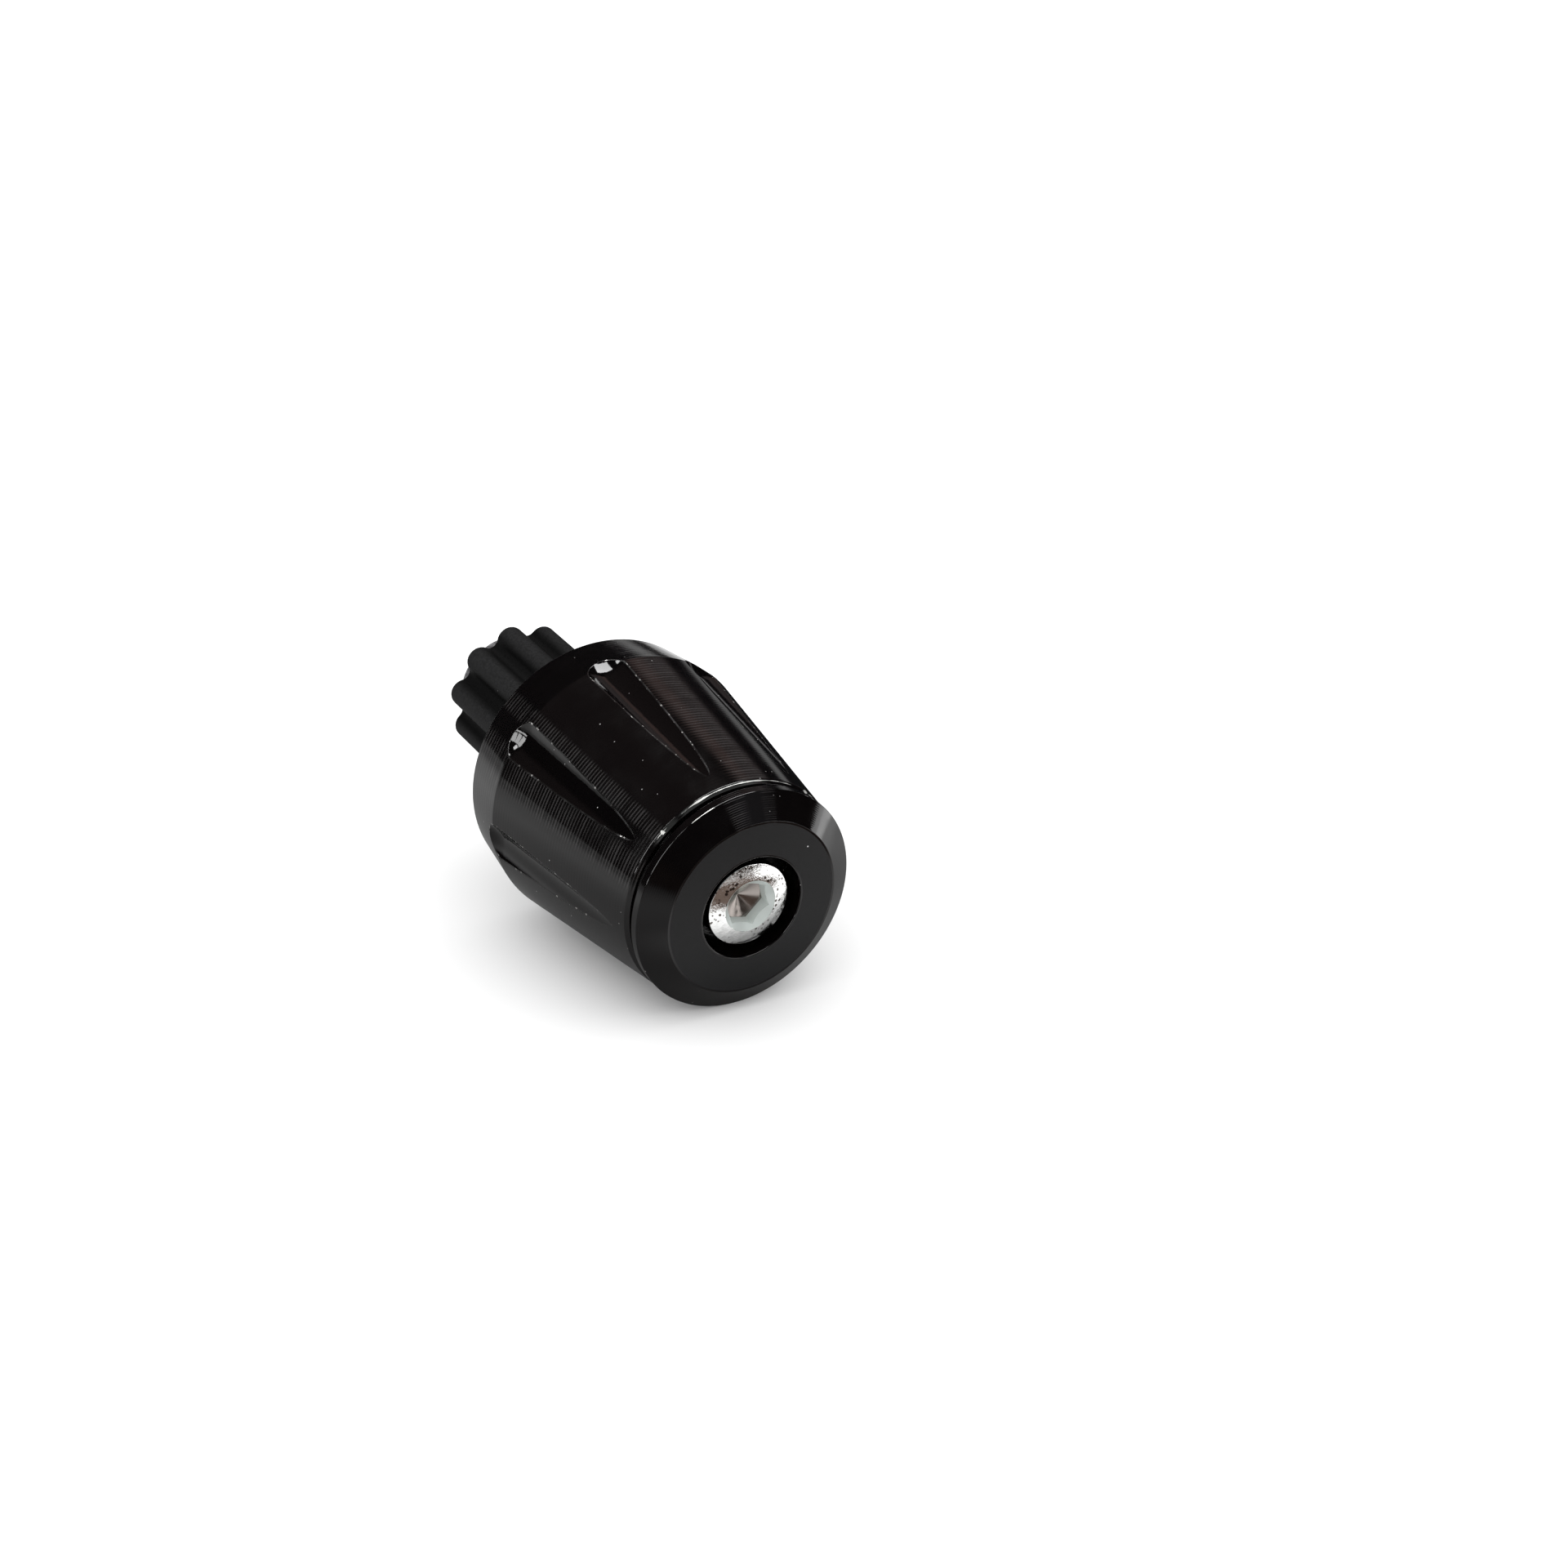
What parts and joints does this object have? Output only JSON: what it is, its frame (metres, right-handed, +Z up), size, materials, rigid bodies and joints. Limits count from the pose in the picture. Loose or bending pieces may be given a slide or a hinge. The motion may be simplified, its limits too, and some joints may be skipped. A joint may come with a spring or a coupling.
{
  "type": "bar end weight",
  "caption": "Fluted, tapered bar end weight with a bevelled cap and a socket screw that draws a cone nut into a lobed rubber plug, which grips inside the bar.",
  "frame": {"origin": "centre of the shoulder face that meets the end of the bar, on the bar's axis", "axes": "+Y along the bar's axis from the cap to the plug, into the bar; +Z up; +X to the right as seen from the cap"},
  "size_m": [0.0353, 0.0655, 0.0352],
  "materials": {
    "black_anodised": "gloss black anodised",
    "cap_anodised": "black anodised, satin face and gloss bevel",
    "screw_chrome": "bright chrome",
    "plug_rubber": "matte",
    "nut_zinc": "zinc plated"
  },
  "bodies": {
    "weight": {"weight_body": "black_anodised", "end_cap": "cap_anodised", "expander_plug": "plug_rubber"},
    "screw": {"clamp_screw": "screw_chrome"},
    "nut": {"expander_nut": "nut_zinc"}
  },
  "joints": [
    {"name": "screw_turn", "type": "hinge", "parent": "weight", "child": "screw", "pos_m": [0, 0, 0], "axis": [0, 1, 0], "range_deg": [0, 1440]},
    {"name": "nut_draw", "type": "slide", "parent": "weight", "child": "nut", "axis": [0, -1, 0], "range_m": [0, 0.004], "deforming": ["expander_plug"]}
  ],
  "couplings": [
    {"joint": "screw_turn", "follows": "nut_draw", "rad_per_m": 6283.2}
  ]
}
